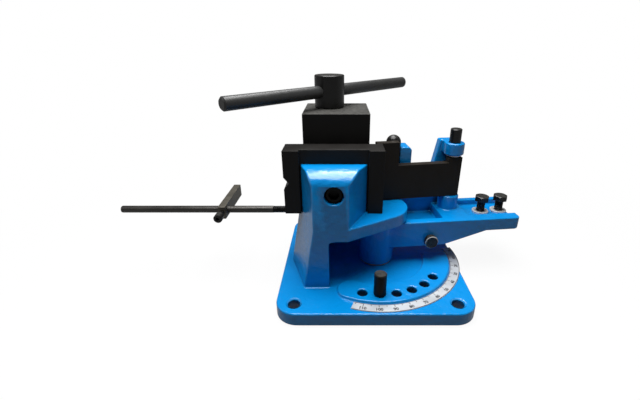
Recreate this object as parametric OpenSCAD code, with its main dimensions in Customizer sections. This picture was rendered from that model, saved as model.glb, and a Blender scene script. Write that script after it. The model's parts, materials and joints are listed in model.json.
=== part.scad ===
// Universal bar bender: flat bar is clamped behind a die and bent by a swinging arm.
// Millimetres. The origin is the middle of the base plate's bolt holes, on its underside.
// X runs to the user's right, Y away from the user, Z up.

/* [Base plate] */
// Width of the base plate, left to right
base_w = 250; // [246:1:300]
// Depth of the base plate, front to back
base_d = 250; // [246:1:300]
// Thickness of the base plate
base_t = 18; // [14:1:24]
// Radius of the base plate's corners
base_corner_r = 28; // [12:1:34]
// Distance between bench bolt holes, left to right
bolt_spacing_x = 204; // [190:1:212]
// Distance between bench bolt holes, front to back
bolt_spacing_y = 210; // [196:1:214]
// Diameter of the bench bolt holes
bolt_hole_d = 16; // [9:0.5:18]
// Chamfer at the mouth of the bench bolt holes
bolt_chamfer = 1.2; // [0.5:0.1:2]

/* [Pivot] */
// Place of the pivot to the right of the middle
pivot_x = 8; // [0:1:10]
// Diameter of the fixed pivot pin
pivot_pin_d = 24; // [18:1:28]
// Outer diameter of the arm's hub
hub_d = 51; // [44:1:56]
// Thickness of the thrust washer under the hub
lower_washer_t = 1.5; // [1:0.5:5]
// Thickness of the thrust washer over the hub
upper_washer_t = 2; // [1.5:0.5:3]
// How far the thrust washers stay inside the hub's edge
washer_inset = 2; // [1:0.5:4]
// Thickness of the table left over the pivot pin's blind bore
pivot_cover = 6; // [4:0.5:8]
// Gap at the pivot pin's ends, to the bench and to the bore's end
pivot_pin_sink = 1; // [0.5:0.5:3]

/* [Stop circle] */
// Radius of the circle of stop holes
stop_r = 92; // [86:0.5:94]
// Diameter of the stop holes
stop_hole_d = 13; // [10:0.5:14]
// Angle from the arm's side to the first stop hole
stop_first = 36.5; // [28:0.5:38]
// Angle from one stop hole to the next
stop_step = 13.75; // [12:0.25:14]
// Number of stop holes
stop_count = 6; // [4:1:6]
// Which stop hole holds the stop pin, counted from the arm
stop_used = 5; // [5:1:6]
// Diameter of the stop pin above its shoulder
stop_pin_d = 16; // [14.5:0.5:18]
// Height of the stop pin above its shoulder
stop_pin_h = 31; // [28:1:38]
// Height of the raised quadrant that holds the stop holes
quadrant_h = 4; // [3:0.5:9]
// Inner radius of the raised quadrant
quadrant_in_r = 70; // [60:1:74]
// Outer radius of the raised quadrant
quadrant_out_r = 107.5; // [104:0.5:110]
// Angle from the X axis back to the quadrant's right end
quadrant_start = 6; // [0:1:10]
// Angle that the raised quadrant covers
quadrant_span = 121; // [116:1:130]
// How far the quadrant's round end stands out past its arcs
end_bulge = 0.3; // [0.2:0.1:1]
// Width of the angle scale's band
scale_w = 13.5; // [10:0.5:16]
// Thickness of the angle scale's band
scale_t = 0.8; // [0.5:0.1:1.5]
// Gap between the raised quadrant and the angle scale
scale_gap = 1; // [0.5:0.5:2]
// Angle from the X axis back to the scale's right end
scale_start = 12; // [0:1:16]
// Angle that the scale covers
scale_span = 121; // [100:1:124]

/* [Column and table] */
// Height of the table's top above the bench
table_z = 104; // [98:1:110]
// Thickness of the table
table_t = 18; // [14:1:18]
// Radius of the table's round nose over the pivot
nose_r = 42; // [36:1:44]
// Right edge of the table behind the nose
table_right = 8; // [2:1:12]
// Distance of the table's back edge behind the pivot
table_back = 115; // [112:1:120]
// Distance of the column's front face before the pivot
column_front = 74; // [70:1:78]
// Left edge of the column's front face at its head
head_left = -78; // [-82:1:-76]
// How far the flared wall leans in under the head at the table's height
head_seam = 0.6; // [0.4:0.1:2]
// Width of the column's front face at its head
head_front_w = 43; // [38:1:48]
// Width of the column's head at the die
head_back_w = 87; // [80:1:88]
// How far the head's left side spreads from front to die
head_spread = 18; // [14:1:18]
// Height of the head's flat top
head_top = 172; // [168:1:180]
// Drop of the head's sloping top
head_slope_h = 11; // [6:1:16]
// Run of the head's sloping top
head_slope_d = 28; // [16:1:34]
// Left edge of the leg's foot
foot_left = -92; // [-94:1:-86]
// Right side of the leg, beside the arch
leg_right = -66; // [-68:1:-58]
// Depth of the leg behind its front face
leg_d = 36; // [30:1:44]
// Radius of the arch's upper corner
arch_r = 16; // [8:1:24]
// Left edge of the side wall's foot
wall_left = -115; // [-118:1:-113]
// Where the flared wall ends, before the pivot
flare_end = 9; // [4:1:16]
// Thickness of the side walls
wall_t = 18; // [14:1:22]
// Lean of the side walls from foot to table
wall_lean = 14; // [10:1:14]
// Thickness of the cross web under the table
web_t = 16; // [12:1:22]

/* [Die] */
// Right end of the die
die_right = 12; // [8:1:12]
// Length of the die
die_w = 130; // [126:1:136]
// Height of the die
die_h = 86.5; // [80:0.5:92]
// Thickness of the die, front to back
die_t = 35; // [30:1:35]
// Distance of the die's working face behind the pivot
die_face = 7; // [4:0.5:7]
// Depth of the recess that sits on the column
recess_d = 6; // [4:0.5:8]
// Width of the die's left flange
left_flange_w = 21; // [16:1:24]
// Width of the die's right flange
right_flange_w = 20; // [16:1:20]
// Width of the notch in the die's left end
notch_w = 16.4; // [10:0.2:20]
// Depth of the notch in the die's left end
notch_d = 6.5; // [4:0.5:10]
// Height of the notch above the table
notch_z = 43; // [36:1:50]
// Diameter of the die screw's thread
die_screw_d = 14; // [10:1:16]
// Diameter of the die screw's head
die_screw_head_d = 21; // [18:0.5:22]
// Height of the die screw's head
die_screw_head_h = 14; // [10:1:16]
// Width across flats of the die screw's socket
die_socket_flats = 12; // [8:0.5:12]
// Diameter of the die screw's counterbore
counterbore_d = 23.5; // [22.5:0.5:26]
// Depth of the die screw's counterbore
counterbore_h = 18; // [16:1:30]
// Height of the die screw above the table
die_screw_z = 45; // [42:1:46]
// Place of the die screw, left to right
die_screw_x = -52; // [-56:1:-50]
// Depth of the die screw's thread in the die
die_thread = 20; // [14:1:24]
// Diameter of the dowels that locate the die
dowel_d = 8; // [6:1:8]
// Distance between the two dowels
dowel_spacing = 32; // [30:1:34]
// Depth of the dowels in the column and in the die
dowel_depth = 14; // [10:1:18]

/* [Length stop] */
// Diameter of the length stop's rod
rod_d = 10; // [8:0.5:12]
// Distance of the rod behind the pivot
rod_y = 3; // [0:1:8]
// Height of the rod below the table's top
rod_drop = 8; // [7:0.5:10]
// Free length of the rod outside the wall
rod_free = 255; // [200:1:300]
// Depth of the rod's thread in the wall
rod_thread = 22; // [16:1:28]
// Place of the stop block along the rod, from the wall
block_at = 109; // [60:1:150]
// Width of the stop block along the rod
block_w = 10; // [8:0.5:14]
// Height of the stop block
block_h = 18; // [16:0.5:22]
// Length of the stop block, front to back
block_l = 86; // [70:1:96]
// Wall of the stop block before the rod
block_front_wall = 8; // [6:0.5:12]
// Diameter of the lock screw's thread
lock_screw_d = 6; // [5:0.5:8]
// Diameter of the lock screw's head
lock_head_d = 12; // [10:0.5:14]
// Length of the lock screw's head
lock_head_l = 11; // [6:0.5:14]
// Gap between the lock screw's head and the stop block
lock_stand = 8; // [2:0.5:12]

/* [Clamp] */
// Side of the square clamp block
clamp_w = 90; // [82:1:91]
// Height of the clamp block
clamp_h = 124; // [110:1:130]
// Open gap for the bar between die and clamp block
bar_gap = 6; // [5.7:0.1:10]
// Left side of the clamp block
clamp_left = -95; // [-98:1:-94]
// Distance of the clamp bore from the block's left side
bore_from_left = 35; // [30:1:45]
// Distance of the clamp bore from the block's front face
bore_from_front = 59; // [50:1:60]
// Diameter of the spindle's eccentric journal
journal_d = 36; // [34:0.5:40]
// Throw of the eccentric journal
throw = 2.7; // [1.5:0.1:2.7]
// Diameter of the spindle's lower journal
lower_journal_d = 28; // [24:0.5:28]
// Length of the spindle's lower journal
lower_journal_l = 52; // [40:1:60]
// Wall of the bush round the lower journal
bush_wall = 4; // [3:0.5:5]
// Wall of the boss round the bush
boss_wall = 11; // [8:1:14]
// Diameter of the spindle's head
head_d = 42; // [38:0.5:46]
// Height of the spindle's head
head_h = 44; // [36:1:50]
// Diameter of the tee bar
bar_d = 17; // [14:0.5:20]
// Length of the tee bar
bar_l = 338; // [260:1:400]
// How far the tee bar is pushed towards its far end
bar_push = 3; // [0:1:20]
// Direction of the tee bar at rest, turned from the X axis
bar_angle = 44.5; // [30:0.5:60]

/* [Arm] */
// Direction of the arm at rest, turned from the X axis
arm_rest = 6.3; // [4:0.1:8]
// Reach of the arm from the pivot
arm_reach = 207.5; // [200:0.5:220]
// Radius of the corner at the front of the arm's end
arm_end_r = 7; // [3:1:12]
// Distance of the arm's front face before the pivot
arm_front = 21; // [19:0.5:23]
// Distance of the arm's back face behind the pivot
arm_back = 56.5; // [54:0.5:60]
// Height of the arm's deep part
arm_deep = 38; // [32:1:40]
// Height of the arm's shallow outer part
arm_shallow = 19; // [17:1:24]
// Distance from the pivot where the arm starts to taper
taper_from = 98; // [94:1:104]
// Distance from the pivot where the arm's taper ends
taper_to = 158; // [140:1:162]
// Distance of the deck pocket's left end from the pivot
pocket_from = 44; // [40:1:50]
// Distance of the deck pocket's right end from the pivot
pocket_to = 95; // [88:1:97]
// Wall left before the deck pocket
pocket_rim = 13; // [10:0.5:16]
// Depth of the deck pocket
pocket_d = 14; // [8:0.5:16]
// Width of the hand lever that the arm's channel takes
lever_w = 50; // [44:1:50]
// Depth of the lever channel
channel_d = 9; // [6:0.5:9]
// Distance of the channel's middle behind the pivot, across the arm
channel_n = 21.75; // [20:0.25:23]
// Length of the lever channel, from the arm's end
channel_l = 71.5; // [66:0.5:74]
// Distance of the outer lever bolt from the arm's end
bolt_from_end = 12; // [12:0.5:16]
// Distance between the lever bolts
lever_bolt_pitch = 29; // [27:0.5:32]
// Thread diameter of the lever bolts
lever_bolt_d = 12; // [10:0.5:12]
// Width across flats of the lever bolts' heads
lever_bolt_flats = 19; // [17:0.5:20]
// Height of the lever bolts' heads
lever_bolt_head_h = 8; // [6:0.5:9]
// Free grip under the lever bolts' heads
lever_grip = 16; // [8:0.5:20]
// Diameter of the lever bolts' washers
lever_washer_d = 24; // [20:0.5:25]
// Thickness of the lever bolts' washers
lever_washer_t = 2.5; // [1.5:0.5:3]
// Distance of the stop bolt from the pivot
stop_bolt_r = 74.5; // [72:0.5:80]
// Height of the stop bolt above the arm's underside
stop_bolt_z = 9; // [8.5:0.5:12]
// Thread diameter of the stop bolt
stop_bolt_d = 12; // [10:0.5:12]
// Diameter of the stop bolt's head
stop_bolt_head_d = 19; // [17:0.5:21]
// Height of the stop bolt's head
stop_bolt_head_h = 7.5; // [6:0.5:8]
// Length of the stop bolt's thread
stop_bolt_l = 26; // [18:1:34]

/* [Blade] */
// How far the blade's free end reaches past the pivot, along the arm
blade_past = 2; // [1:0.5:4]
// Distance of the blade pin behind the pivot, across the arm
blade_pin_n = 28; // [27:0.5:29]
// Diameter of the blade pin
blade_pin_d = 16; // [12:0.5:16]
// Height of the blade pin above its upper lug
blade_pin_proud = 19; // [8:1:22]
// Turn of the blade against the arm
blade_turn = 2.6; // [1.5:0.1:3]
// Length of the blade left of its pin
blade_l = 116.5; // [114:0.5:118]
// Thickness of the blade
blade_t = 11; // [9:0.5:11]
// Height of the blade
blade_h = 51.5; // [46:0.5:56]
// Height of the blade's tall tab
tab_h = 84.5; // [76:0.5:86]
// Width of the blade's tall tab
tab_w = 32; // [26:1:34]
// Height of the blade's eye
eye_h = 59; // [57:0.5:62]
// Half width of the blade's eye
eye_r = 10; // [10:0.5:11]
// Gap between the table's top and the blade
blade_lift = 1; // [0.6:0.1:2]
// Diameter of the arm's lower pin boss
lower_boss_d = 30; // [28:1:36]
// Diameter of the arm's upper ring lug
ring_d = 28; // [26:1:32]
// Height of the arm's upper ring lug
ring_h = 17.5; // [14:0.5:24]
// Thickness of the washer over the blade's eye
blade_washer_t = 2; // [1.5:0.5:4]
// Diameter of the washer over the blade's eye
blade_washer_d = 20; // [19:0.5:26]
// Thickness of the arm's rear upright
upright_t = 14; // [12:0.5:15]
// Reach of the rear upright's top to the left of the blade pin
upright_left = 15.5; // [14:0.5:20]
// Reach of the rear upright to the right of the blade pin
upright_right = 12; // [11:0.5:16]
// Spread of the rear upright's foot, to its left
upright_spread = 13; // [8:1:24]
// Height of the low rear wall above the table's top
rear_wall_h = 12; // [6:1:20]
// Diameter of the backing pin behind the tab
backing_pin_d = 21; // [18:0.5:22]
// Distance of the backing pin from the blade's tab end
backing_pin_in = 29.5; // [26:0.5:31]
// Height of the backing pin above its lug
backing_pin_proud = 17; // [12:0.5:19]
// Length of the backing pin in its lug
backing_pin_seat = 46; // [36:1:50]
// Height of the left lug's top above the table
lug_top = 74; // [70:1:76]
// Wall of the left lug round the backing pin
lug_wall = 7; // [5:0.5:8]
// Left side of the left lug's post, from the pivot
post_left = 36.5; // [36:0.5:39]
// Right side of the left lug's post, from the pivot
post_right = 53.5; // [50:0.5:56]
// Chamfer on the left lug's right top edge
lug_chamfer = 4; // [2:0.5:6]

/* [Clearances] */
// Radial clearance of running and sliding fits
run_fit = 0.05; // [0.02:0.01:0.08]
// Radial clearance of bolts and screws in their threads
thread_fit = 0.05; // [0.02:0.01:0.1]
// Gap between faces that slide over each other
face_fit = 0.3; // [0.2:0.05:0.5]
// Radial clearance of a washer's hole
washer_fit = 0.4; // [0.2:0.1:0.6]
// Clearance of the lever in its channel, both sides together
lever_fit = 1; // [0.5:0.1:2]
// Chamfer on machined edges
edge = 1; // [0.5:0.1:1.5]

/* [Hidden] */
$fn = 96;
cut = 1;
blue = "dodgerblue";
black = [0.13, 0.13, 0.13];
zinc = [0.75, 0.75, 0.76];

// Heights that follow from the driving sizes
table_low = table_z - table_t;
quadrant_top = base_t + quadrant_h;
hub_low = base_t + lower_washer_t + face_fit;
hub_top = table_low - upper_washer_t - 2 * face_fit;
arm_top = hub_top;
arm_low = arm_top - arm_deep;
channel_z = arm_top - channel_d;
root_z = arm_top - pocket_d - edge;
blade_z = table_z + blade_lift;
boss_top = blade_z - face_fit;
ring_z = blade_z + eye_h + blade_washer_t + 2 * face_fit;
ring_top = ring_z + ring_h;
lug_z = table_z + lug_top;
clamp_z = table_z + face_fit;
clamp_top = clamp_z + clamp_h;
head_z = clamp_top + face_fit;
rod_z = table_z - rod_drop;

// Places that follow from the driving sizes
die_front = die_face - die_t;
head_back = die_front + recess_d;
head_right = head_left + head_front_w;
head_back_left = head_left - head_spread;
clamp_front = die_face + bar_gap;
bore_x = clamp_left + bore_from_left;
bore_y = clamp_front + bore_from_front;
spindle_x = bore_x;
spindle_y = bore_y - throw;
boss_r = lower_journal_d / 2 + bush_wall + boss_wall;
table_left = wall_left + wall_lean;
rod_in = table_left + rod_thread;
rod_out = table_left - rod_free;
block_x = table_left - block_at;
block_front = rod_y - rod_d / 2 - block_front_wall;
die_x = die_right - die_w;
die_screw_h = table_z + die_screw_z;
channel_w = lever_w + lever_fit;
channel_from = arm_reach - channel_l;
blade_pin_r = blade_l - blade_past;
lever_bolt_l = lever_washer_t + lever_grip + arm_shallow - channel_d - edge;
post_front = blade_pin_n - eye_r + blade_t + 2 * face_fit;
upright_front = arm_back - upright_t;

// Corner of two tangents: where a line from p touches a circle at c on its right-hand side
function tangent(p, c, r) =
    let (v = c - p, a = atan2(v.y, v.x) - asin(r / norm(v)), l = sqrt(v * v - r * r))
    p + l * [cos(a), sin(a)];

// Centre of the backing pin, against the back of the blade's tab
function backing_pin_at() =
    let (x = backing_pin_in - blade_l, y = blade_t - eye_r + backing_pin_d / 2 + face_fit)
    [blade_pin_r + x * cos(blade_turn) - y * sin(blade_turn),
     blade_pin_n + x * sin(blade_turn) + y * cos(blade_turn)];

// Moves its children to the pivot
module at_pivot() {
    translate([pivot_x, 0, 0]) children();
}

// Moves its children to the arm: X along the arm, Y across it
module in_arm() {
    at_pivot() rotate(arm_rest) children();
}

// Moves its children to the blade: origin at the blade pin, X along the blade
module in_blade() {
    in_arm() translate([blade_pin_r, blade_pin_n, blade_z]) rotate(blade_turn) children();
}

// Turned piece along Z with both ends chamfered
module turned(d, h, c = edge) {
    rotate_extrude() polygon([[0, 0], [d / 2 - c, 0], [d / 2, c], [d / 2, h - c], [d / 2 - c, h], [0, h]]);
}

// Flat ring
module ring(d, hole, t) {
    difference() {
        cylinder(d = d, h = t);
        translate([0, 0, -cut]) cylinder(d = hole, h = t + 2 * cut);
    }
}

// Six-sided head along Z
module hexagon(flats, h) {
    cylinder(d = flats / cos(30), h = h, $fn = 6);
}

// Plate with round corners
module round_plate(w, d, r, t) {
    linear_extrude(t) {
        square([w - 2 * r, d], center = true);
        square([w, d - 2 * r], center = true);
        for (x = [-1, 1], y = [-1, 1])
            translate([x * (w / 2 - r), y * (d / 2 - r)]) circle(r);
    }
}

// Flat sector of a ring that runs clockwise from a start angle
module sector(in_r, out_r, start, span) {
    far = 2 * out_r;
    rotate(start) difference() {
        circle(out_r);
        circle(in_r);
        translate([-far, 0]) square([2 * far, far]);
        rotate(-span) translate([-far, -far]) square([2 * far, far]);
    }
}

// Straight wall from one point to another, past the table's top, that leans to its right by lean there
module leaning_wall(from, to, lean, t) {
    v = to - from;
    h = table_z - base_t + cut;
    top = lean * h / (h - cut);
    translate([from.x, from.y, base_t]) rotate([0, 0, atan2(v.y, v.x)]) rotate([90, 0, 90])
        linear_extrude(norm(v)) polygon([[0, 0], [-top - t, 0], [-top - t, h], [-top, h]]);
}

// Wall that flares from the leg to the left
module flared_wall(t) {
    foot = [foot_left, -column_front];
    run = [wall_left, -flare_end] - foot;
    lean = (head_left + head_seam - foot_left) * run.y / norm(run);
    leaning_wall(foot - run, foot + base_w / norm(run) * run, lean, t);
}

// Wall that runs straight to the back
module side_wall(t) {
    leaning_wall([wall_left, -column_front], [wall_left, table_back], wall_lean, t);
}

// Left walls of the column, each cut off by the other's outer face and both level with the table
module left_walls() {
    difference() {
        union() {
            intersection() {
                flared_wall(wall_t);
                side_wall(base_w / 2);
            }
            intersection() {
                side_wall(wall_t);
                flared_wall(base_w);
            }
        }
        translate([-base_w, -base_d, table_z]) cube([2 * base_w, 2 * base_d, base_t]);
    }
}

// Places of the stop holes
module at_stop_hole(i) {
    at_pivot() rotate(-stop_first - (i - 1) * stop_step) translate([stop_r, 0, 0]) children();
}

// Raised quadrant with a round left end
module quadrant() {
    mid_r = (quadrant_in_r + quadrant_out_r) / 2;
    end_r = quadrant_out_r - mid_r + end_bulge;
    at_pivot() linear_extrude(quadrant_top) {
        sector(quadrant_in_r, quadrant_out_r, quadrant_start, quadrant_span);
        rotate(quadrant_start - quadrant_span) translate([mid_r, 0]) circle(end_r);
    }
}

// Table with its round nose over the pivot
module table() {
    front_right = [head_right, -column_front];
    inner_left = table_left + wall_t / 2;
    translate([0, 0, table_low]) linear_extrude(table_t) {
        translate([pivot_x, 0]) circle(nose_r);
        polygon([[leg_right, -column_front], front_right, tangent(front_right, [pivot_x, 0], nose_r),
                 [table_right, 0], [table_right, table_back], [inner_left, table_back],
                 [inner_left, -flare_end]]);
    }
}

// Head of the column that the die sits on
module column_head() {
    intersection() {
        translate([0, 0, table_low]) linear_extrude(head_top - table_low)
            polygon([[head_left, -column_front], [head_right, -column_front],
                     [head_back_left + head_back_w, head_back], [head_back_left, head_back]]);
        translate([head_left - column_front, 0, 0]) rotate([90, 0, 90]) linear_extrude(2 * die_w)
            polygon([[-column_front, 0], [-column_front, head_top - head_slope_h],
                     [head_slope_d - column_front, head_top], [head_back, head_top], [head_back, 0]]);
    }
}

// Leg under the column's front face, with the arch's corner
module leg() {
    translate([0, leg_d - column_front, 0]) rotate([90, 0, 0]) linear_extrude(leg_d) {
        polygon([[foot_left + edge, base_t], [leg_right, base_t], [leg_right, table_z],
                 [head_left + edge, table_z]]);
        difference() {
            translate([leg_right, table_low - arch_r]) square(arch_r);
            translate([leg_right + arch_r, table_low - arch_r]) circle(arch_r);
        }
    }
}

// Bores and holes of the frame
module frame_holes() {
    at_pivot() translate([0, 0, -cut]) cylinder(d = pivot_pin_d, h = table_z - pivot_cover + cut);
    for (x = [-1, 1], y = [-1, 1]) translate([x * bolt_spacing_x / 2, y * bolt_spacing_y / 2, 0]) {
        translate([0, 0, -cut]) cylinder(d = bolt_hole_d, h = base_t + 2 * cut);
        translate([0, 0, base_t - bolt_chamfer])
            cylinder(d1 = bolt_hole_d, d2 = bolt_hole_d + 4 * bolt_chamfer, h = 2 * bolt_chamfer);
    }
    for (i = [1:stop_count]) at_stop_hole(i)
        translate([0, 0, -cut]) cylinder(d = stop_hole_d, h = quadrant_top + 2 * cut);
    translate([spindle_x, spindle_y, table_z - lower_journal_l - edge])
        cylinder(r = lower_journal_d / 2 + bush_wall, h = lower_journal_l + edge + cut);
    translate([die_screw_x, -column_front - cut, die_screw_h]) rotate([-90, 0, 0]) {
        cylinder(d = counterbore_d, h = counterbore_h + cut);
        cylinder(r = die_screw_d / 2 + washer_fit, h = column_front + head_back + 2 * cut);
    }
    die_dowel_holes();
    translate([wall_left, rod_y, rod_z]) rotate([0, 90, 0])
        cylinder(r = rod_d / 2 + thread_fit, h = rod_in - wall_left + edge);
}

// Cast frame: base plate, quadrant, leg, side walls, column head, table and spindle boss
module frame_casting() {
    color(blue) difference() {
        union() {
            round_plate(base_w, base_d, base_corner_r, base_t);
            quadrant();
            table();
            column_head();
            leg();
            left_walls();
            translate([spindle_x, spindle_y, 0]) cylinder(r = boss_r, h = table_low + cut);
            translate([table_left, spindle_y - web_t / 2, 0])
                cube([table_right - table_left, web_t, table_low + cut]);
        }
        frame_holes();
    }
}

// Band with the angle scale round the quadrant
module angle_scale() {
    in_r = quadrant_out_r + scale_gap;
    color("gainsboro") at_pivot() translate([0, 0, base_t]) linear_extrude(scale_t)
        sector(in_r, in_r + scale_w, scale_start, scale_span);
}

// Fixed pin that the arm swings on
module pivot_pin() {
    color(zinc) at_pivot() translate([0, 0, pivot_pin_sink])
        turned(pivot_pin_d, table_z - pivot_cover - 2 * pivot_pin_sink);
}

// Thrust washer between base plate and hub
module lower_thrust_washer() {
    color("goldenrod") at_pivot() translate([0, 0, base_t])
        ring(hub_d - 2 * washer_inset, pivot_pin_d + 2 * washer_fit, lower_washer_t);
}

// Thrust washer between hub and table
module upper_thrust_washer() {
    color("goldenrod") at_pivot() translate([0, 0, table_low - upper_washer_t])
        ring(hub_d - 2 * washer_inset, pivot_pin_d + 2 * washer_fit, upper_washer_t);
}

// Die: a block with a recess in front for the column and a notch in its left end
module bending_die() {
    notch_mid = table_z + notch_z;
    color(black) difference() {
        translate([die_x, die_front, table_z]) cube([die_w, die_t, die_h]);
        translate([die_x + left_flange_w, die_front - cut, table_z - cut])
            cube([die_w - left_flange_w - right_flange_w, recess_d + cut, die_h + 2 * cut]);
        translate([0, die_front - cut, 0]) rotate([-90, 0, 0]) linear_extrude(die_t + 2 * cut)
            polygon([[die_x - cut, -notch_mid - notch_w / 2], [die_x, -notch_mid - notch_w / 2],
                     [die_x + notch_d, -notch_mid], [die_x, -notch_mid + notch_w / 2],
                     [die_x - cut, -notch_mid + notch_w / 2]]);
        translate([die_screw_x, head_back - cut, die_screw_h]) rotate([-90, 0, 0])
            cylinder(r = die_screw_d / 2 + thread_fit, h = die_thread + edge + cut);
        die_dowel_holes();
    }
}

// Socket screw that draws the die against the column
module die_screw() {
    seat = counterbore_h - column_front;
    color(black) translate([die_screw_x, seat, die_screw_h]) rotate([-90, 0, 0]) difference() {
        union() {
            translate([0, 0, -die_screw_head_h]) turned(die_screw_head_d, die_screw_head_h);
            cylinder(d = die_screw_d, h = head_back + die_thread - seat);
        }
        translate([0, 0, -die_screw_head_h - cut]) hexagon(die_socket_flats, die_screw_head_h / 2 + cut);
    }
}

// Places of the two dowels between column and die
module at_dowels() {
    for (z = [-1, 1]) translate([die_screw_x, head_back - dowel_depth, die_screw_h + z * dowel_spacing / 2])
        rotate([-90, 0, 0]) children();
}

// Holes for the dowels
module die_dowel_holes() {
    at_dowels() translate([0, 0, -edge])
        cylinder(r = dowel_d / 2 + thread_fit, h = 2 * (dowel_depth + edge));
}

// Dowels that locate the die on the column
module die_dowels() {
    color(zinc) at_dowels() turned(dowel_d, 2 * dowel_depth);
}

// Rod of the length stop, screwed into the table's left edge
module stop_rod() {
    color(black) translate([rod_out, rod_y, rod_z]) rotate([0, 90, 0]) turned(rod_d, rod_in - rod_out);
}

// Block that slides along the rod
module stop_block() {
    color(black) difference() {
        translate([block_x - block_w / 2, block_front, rod_z - block_h / 2])
            cube([block_w, block_l, block_h]);
        translate([block_x - block_w, rod_y, rod_z]) rotate([0, 90, 0])
            cylinder(r = rod_d / 2 + run_fit, h = 2 * block_w);
        translate([block_x, block_front - cut, rod_z]) rotate([-90, 0, 0])
            cylinder(r = lock_screw_d / 2 + thread_fit, h = block_front_wall + 2 * cut);
    }
}

// Screw that locks the stop block on the rod
module stop_lock_screw() {
    head_front = block_front - lock_stand - lock_head_l;
    color(black) translate([block_x, head_front, rod_z]) rotate([-90, 0, 0]) {
        turned(lock_head_d, lock_head_l);
        cylinder(d = lock_screw_d, h = lock_head_l + lock_stand + block_front_wall - face_fit);
    }
}

// Bush for the spindle's lower journal
module spindle_bush() {
    color("goldenrod") translate([spindle_x, spindle_y, table_z - lower_journal_l])
        ring(lower_journal_d + 2 * bush_wall, lower_journal_d + 2 * run_fit, lower_journal_l);
}

// Eccentric spindle with its head and cross hole
module clamp_spindle() {
    color(black) difference() {
        union() {
            translate([spindle_x, spindle_y, clamp_z - lower_journal_l])
                turned(lower_journal_d, lower_journal_l);
            translate([bore_x, bore_y, clamp_z]) cylinder(d = journal_d, h = head_z - clamp_z);
            translate([spindle_x, spindle_y, head_z]) turned(head_d, head_h);
        }
        translate([spindle_x, spindle_y, head_z + head_h / 2]) rotate([0, 90, bar_angle])
            translate([0, 0, -head_d]) cylinder(r = bar_d / 2 + run_fit, h = 2 * head_d);
    }
}

// Tee bar that turns the spindle
module tee_bar() {
    color(black) translate([spindle_x, spindle_y, head_z + head_h / 2]) rotate([0, 90, bar_angle])
        translate([0, 0, bar_push - bar_l / 2]) turned(bar_d, bar_l, 2 * edge);
}

// Square clamp block with an off-centre bore
module clamp_block() {
    w = clamp_w;
    color(black) difference() {
        translate([clamp_left, clamp_front, clamp_z]) linear_extrude(clamp_h)
            polygon([[edge, 0], [w - edge, 0], [w, edge], [w, w - edge], [w - edge, w], [edge, w],
                     [0, w - edge], [0, edge]]);
        translate([bore_x, bore_y, clamp_z - cut])
            cylinder(r = journal_d / 2 + run_fit, h = clamp_h + 2 * cut);
    }
}

// Shouldered pin in one of the stop holes
module stop_pin() {
    color(black) at_stop_hole(stop_used) {
        translate([0, 0, edge]) cylinder(r = stop_hole_d / 2 - run_fit, h = quadrant_top);
        translate([0, 0, quadrant_top + face_fit]) turned(stop_pin_d, stop_pin_h);
    }
}

// Side view of the arm: deep near the hub, shallow at its end
module arm_side() {
    polygon([[0, arm_low], [taper_from, arm_low], [taper_to, arm_top - arm_shallow],
             [arm_reach, arm_top - arm_shallow], [arm_reach, arm_top], [0, arm_top]]);
}

// Plan of the arm's beam, with a round corner at the front of its end
module arm_plan() {
    end = arm_reach - arm_end_r;
    polygon([[0, -arm_front], [end, -arm_front], [end, arm_end_r - arm_front],
             [arm_reach, arm_end_r - arm_front], [arm_reach, arm_back],
             [post_left, arm_back], [0, hub_d / 2]]);
    translate([end, arm_end_r - arm_front]) circle(arm_end_r);
}

// Beam of the arm with the pocket in its deck
module arm_beam() {
    difference() {
        intersection() {
            linear_extrude(2 * arm_top) arm_plan();
            translate([0, arm_reach, 0]) rotate([90, 0, 0]) linear_extrude(2 * arm_reach) arm_side();
        }
        translate([pocket_from, pocket_rim - arm_front, arm_top - pocket_d])
            cube([pocket_to - pocket_from, upright_front + arm_front - pocket_rim, pocket_d + cut]);
    }
}

// Low wall and upright at the back of the arm; the upright carries the ring lug
module rear_upright() {
    left = blade_pin_r - upright_left;
    right = blade_pin_r + upright_right;
    wall_z = table_z + rear_wall_h;
    translate([0, arm_back, 0]) rotate([90, 0, 0]) linear_extrude(upright_t)
        polygon([[post_left, root_z], [right, root_z], [right, ring_top], [left, ring_top],
                 [left - upright_spread, wall_z], [post_left, wall_z]]);
    translate([blade_pin_r - upright_right, blade_pin_n, ring_z])
        cube([2 * upright_right, upright_front - blade_pin_n + cut, ring_h]);
    translate([blade_pin_r, blade_pin_n, ring_z]) cylinder(d = ring_d, h = ring_h);
}

// Lug at the left of the arm that holds the backing pin
module left_lug() {
    pin = backing_pin_at();
    ear_low = lug_z - backing_pin_seat - lug_wall;
    translate([0, arm_back, 0]) rotate([90, 0, 0]) linear_extrude(arm_back - post_front)
        polygon([[post_left, root_z], [post_right, root_z], [post_right, lug_z - lug_chamfer],
                 [post_right - lug_chamfer, lug_z], [post_left, lug_z]]);
    intersection() {
        translate([0, 0, ear_low]) linear_extrude(lug_z - ear_low) {
            translate(pin) circle(backing_pin_d / 2 + lug_wall);
            translate([pin.x, post_front]) square([post_left - pin.x + cut, arm_back - post_front]);
        }
        translate([-arm_reach, post_front, 0]) cube([2 * arm_reach, arm_back - post_front, 2 * lug_z]);
    }
}

// Places of the two lever bolts on the channel's floor
module at_lever_bolts() {
    for (i = [0, 1]) translate([arm_reach - bolt_from_end - i * lever_bolt_pitch, channel_n, channel_z])
        children();
}

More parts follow.
